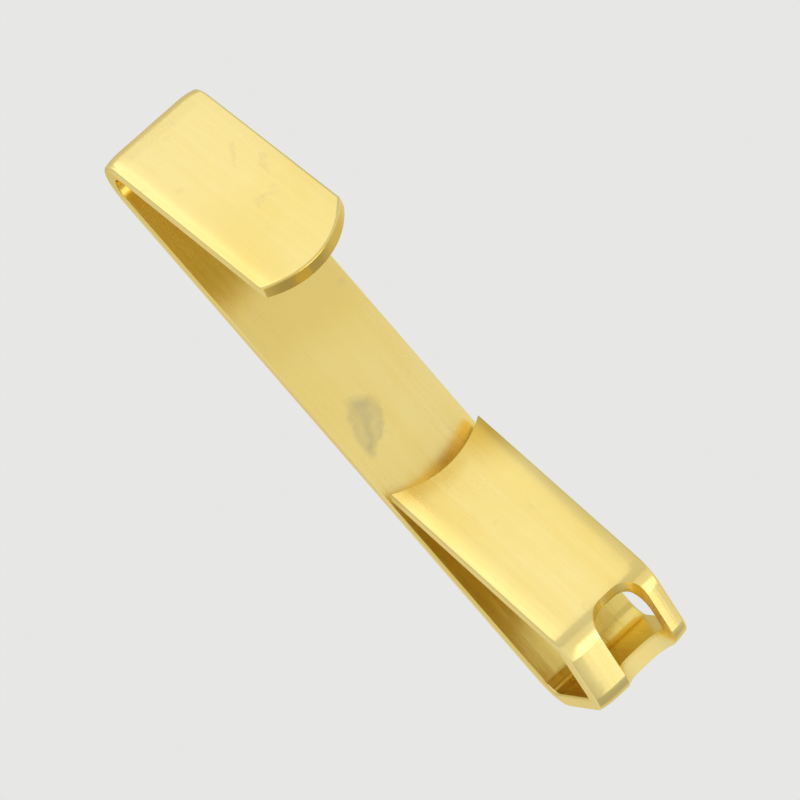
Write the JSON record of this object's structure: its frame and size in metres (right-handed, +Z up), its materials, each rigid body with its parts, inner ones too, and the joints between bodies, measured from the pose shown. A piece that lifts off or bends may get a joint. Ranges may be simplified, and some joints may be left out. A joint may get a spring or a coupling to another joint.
{
  "type": "picture hook",
  "caption": "Picture hook folded from one narrow strip: flat back plate, boxed nose with a slot over a slanting fixing hole, and a V-shaped lip for the picture wire.",
  "frame": {"origin": "where the axis of the slanting fixing hole meets the wall plane, which is the back face of the plate", "axes": "+Z up the wall as the hook hangs, +Y into the wall, so the lip and nose stand out towards -Y, +X across the strip to the right seen from the front"},
  "size_m": [0.007, 0.0135, 0.0416],
  "materials": {
    "strip": "bright brass plating on steel, satin, with fine lengthwise rolling lines"
  },
  "bodies": {
    "root": {"hook": "strip"}
  },
  "joints": []
}
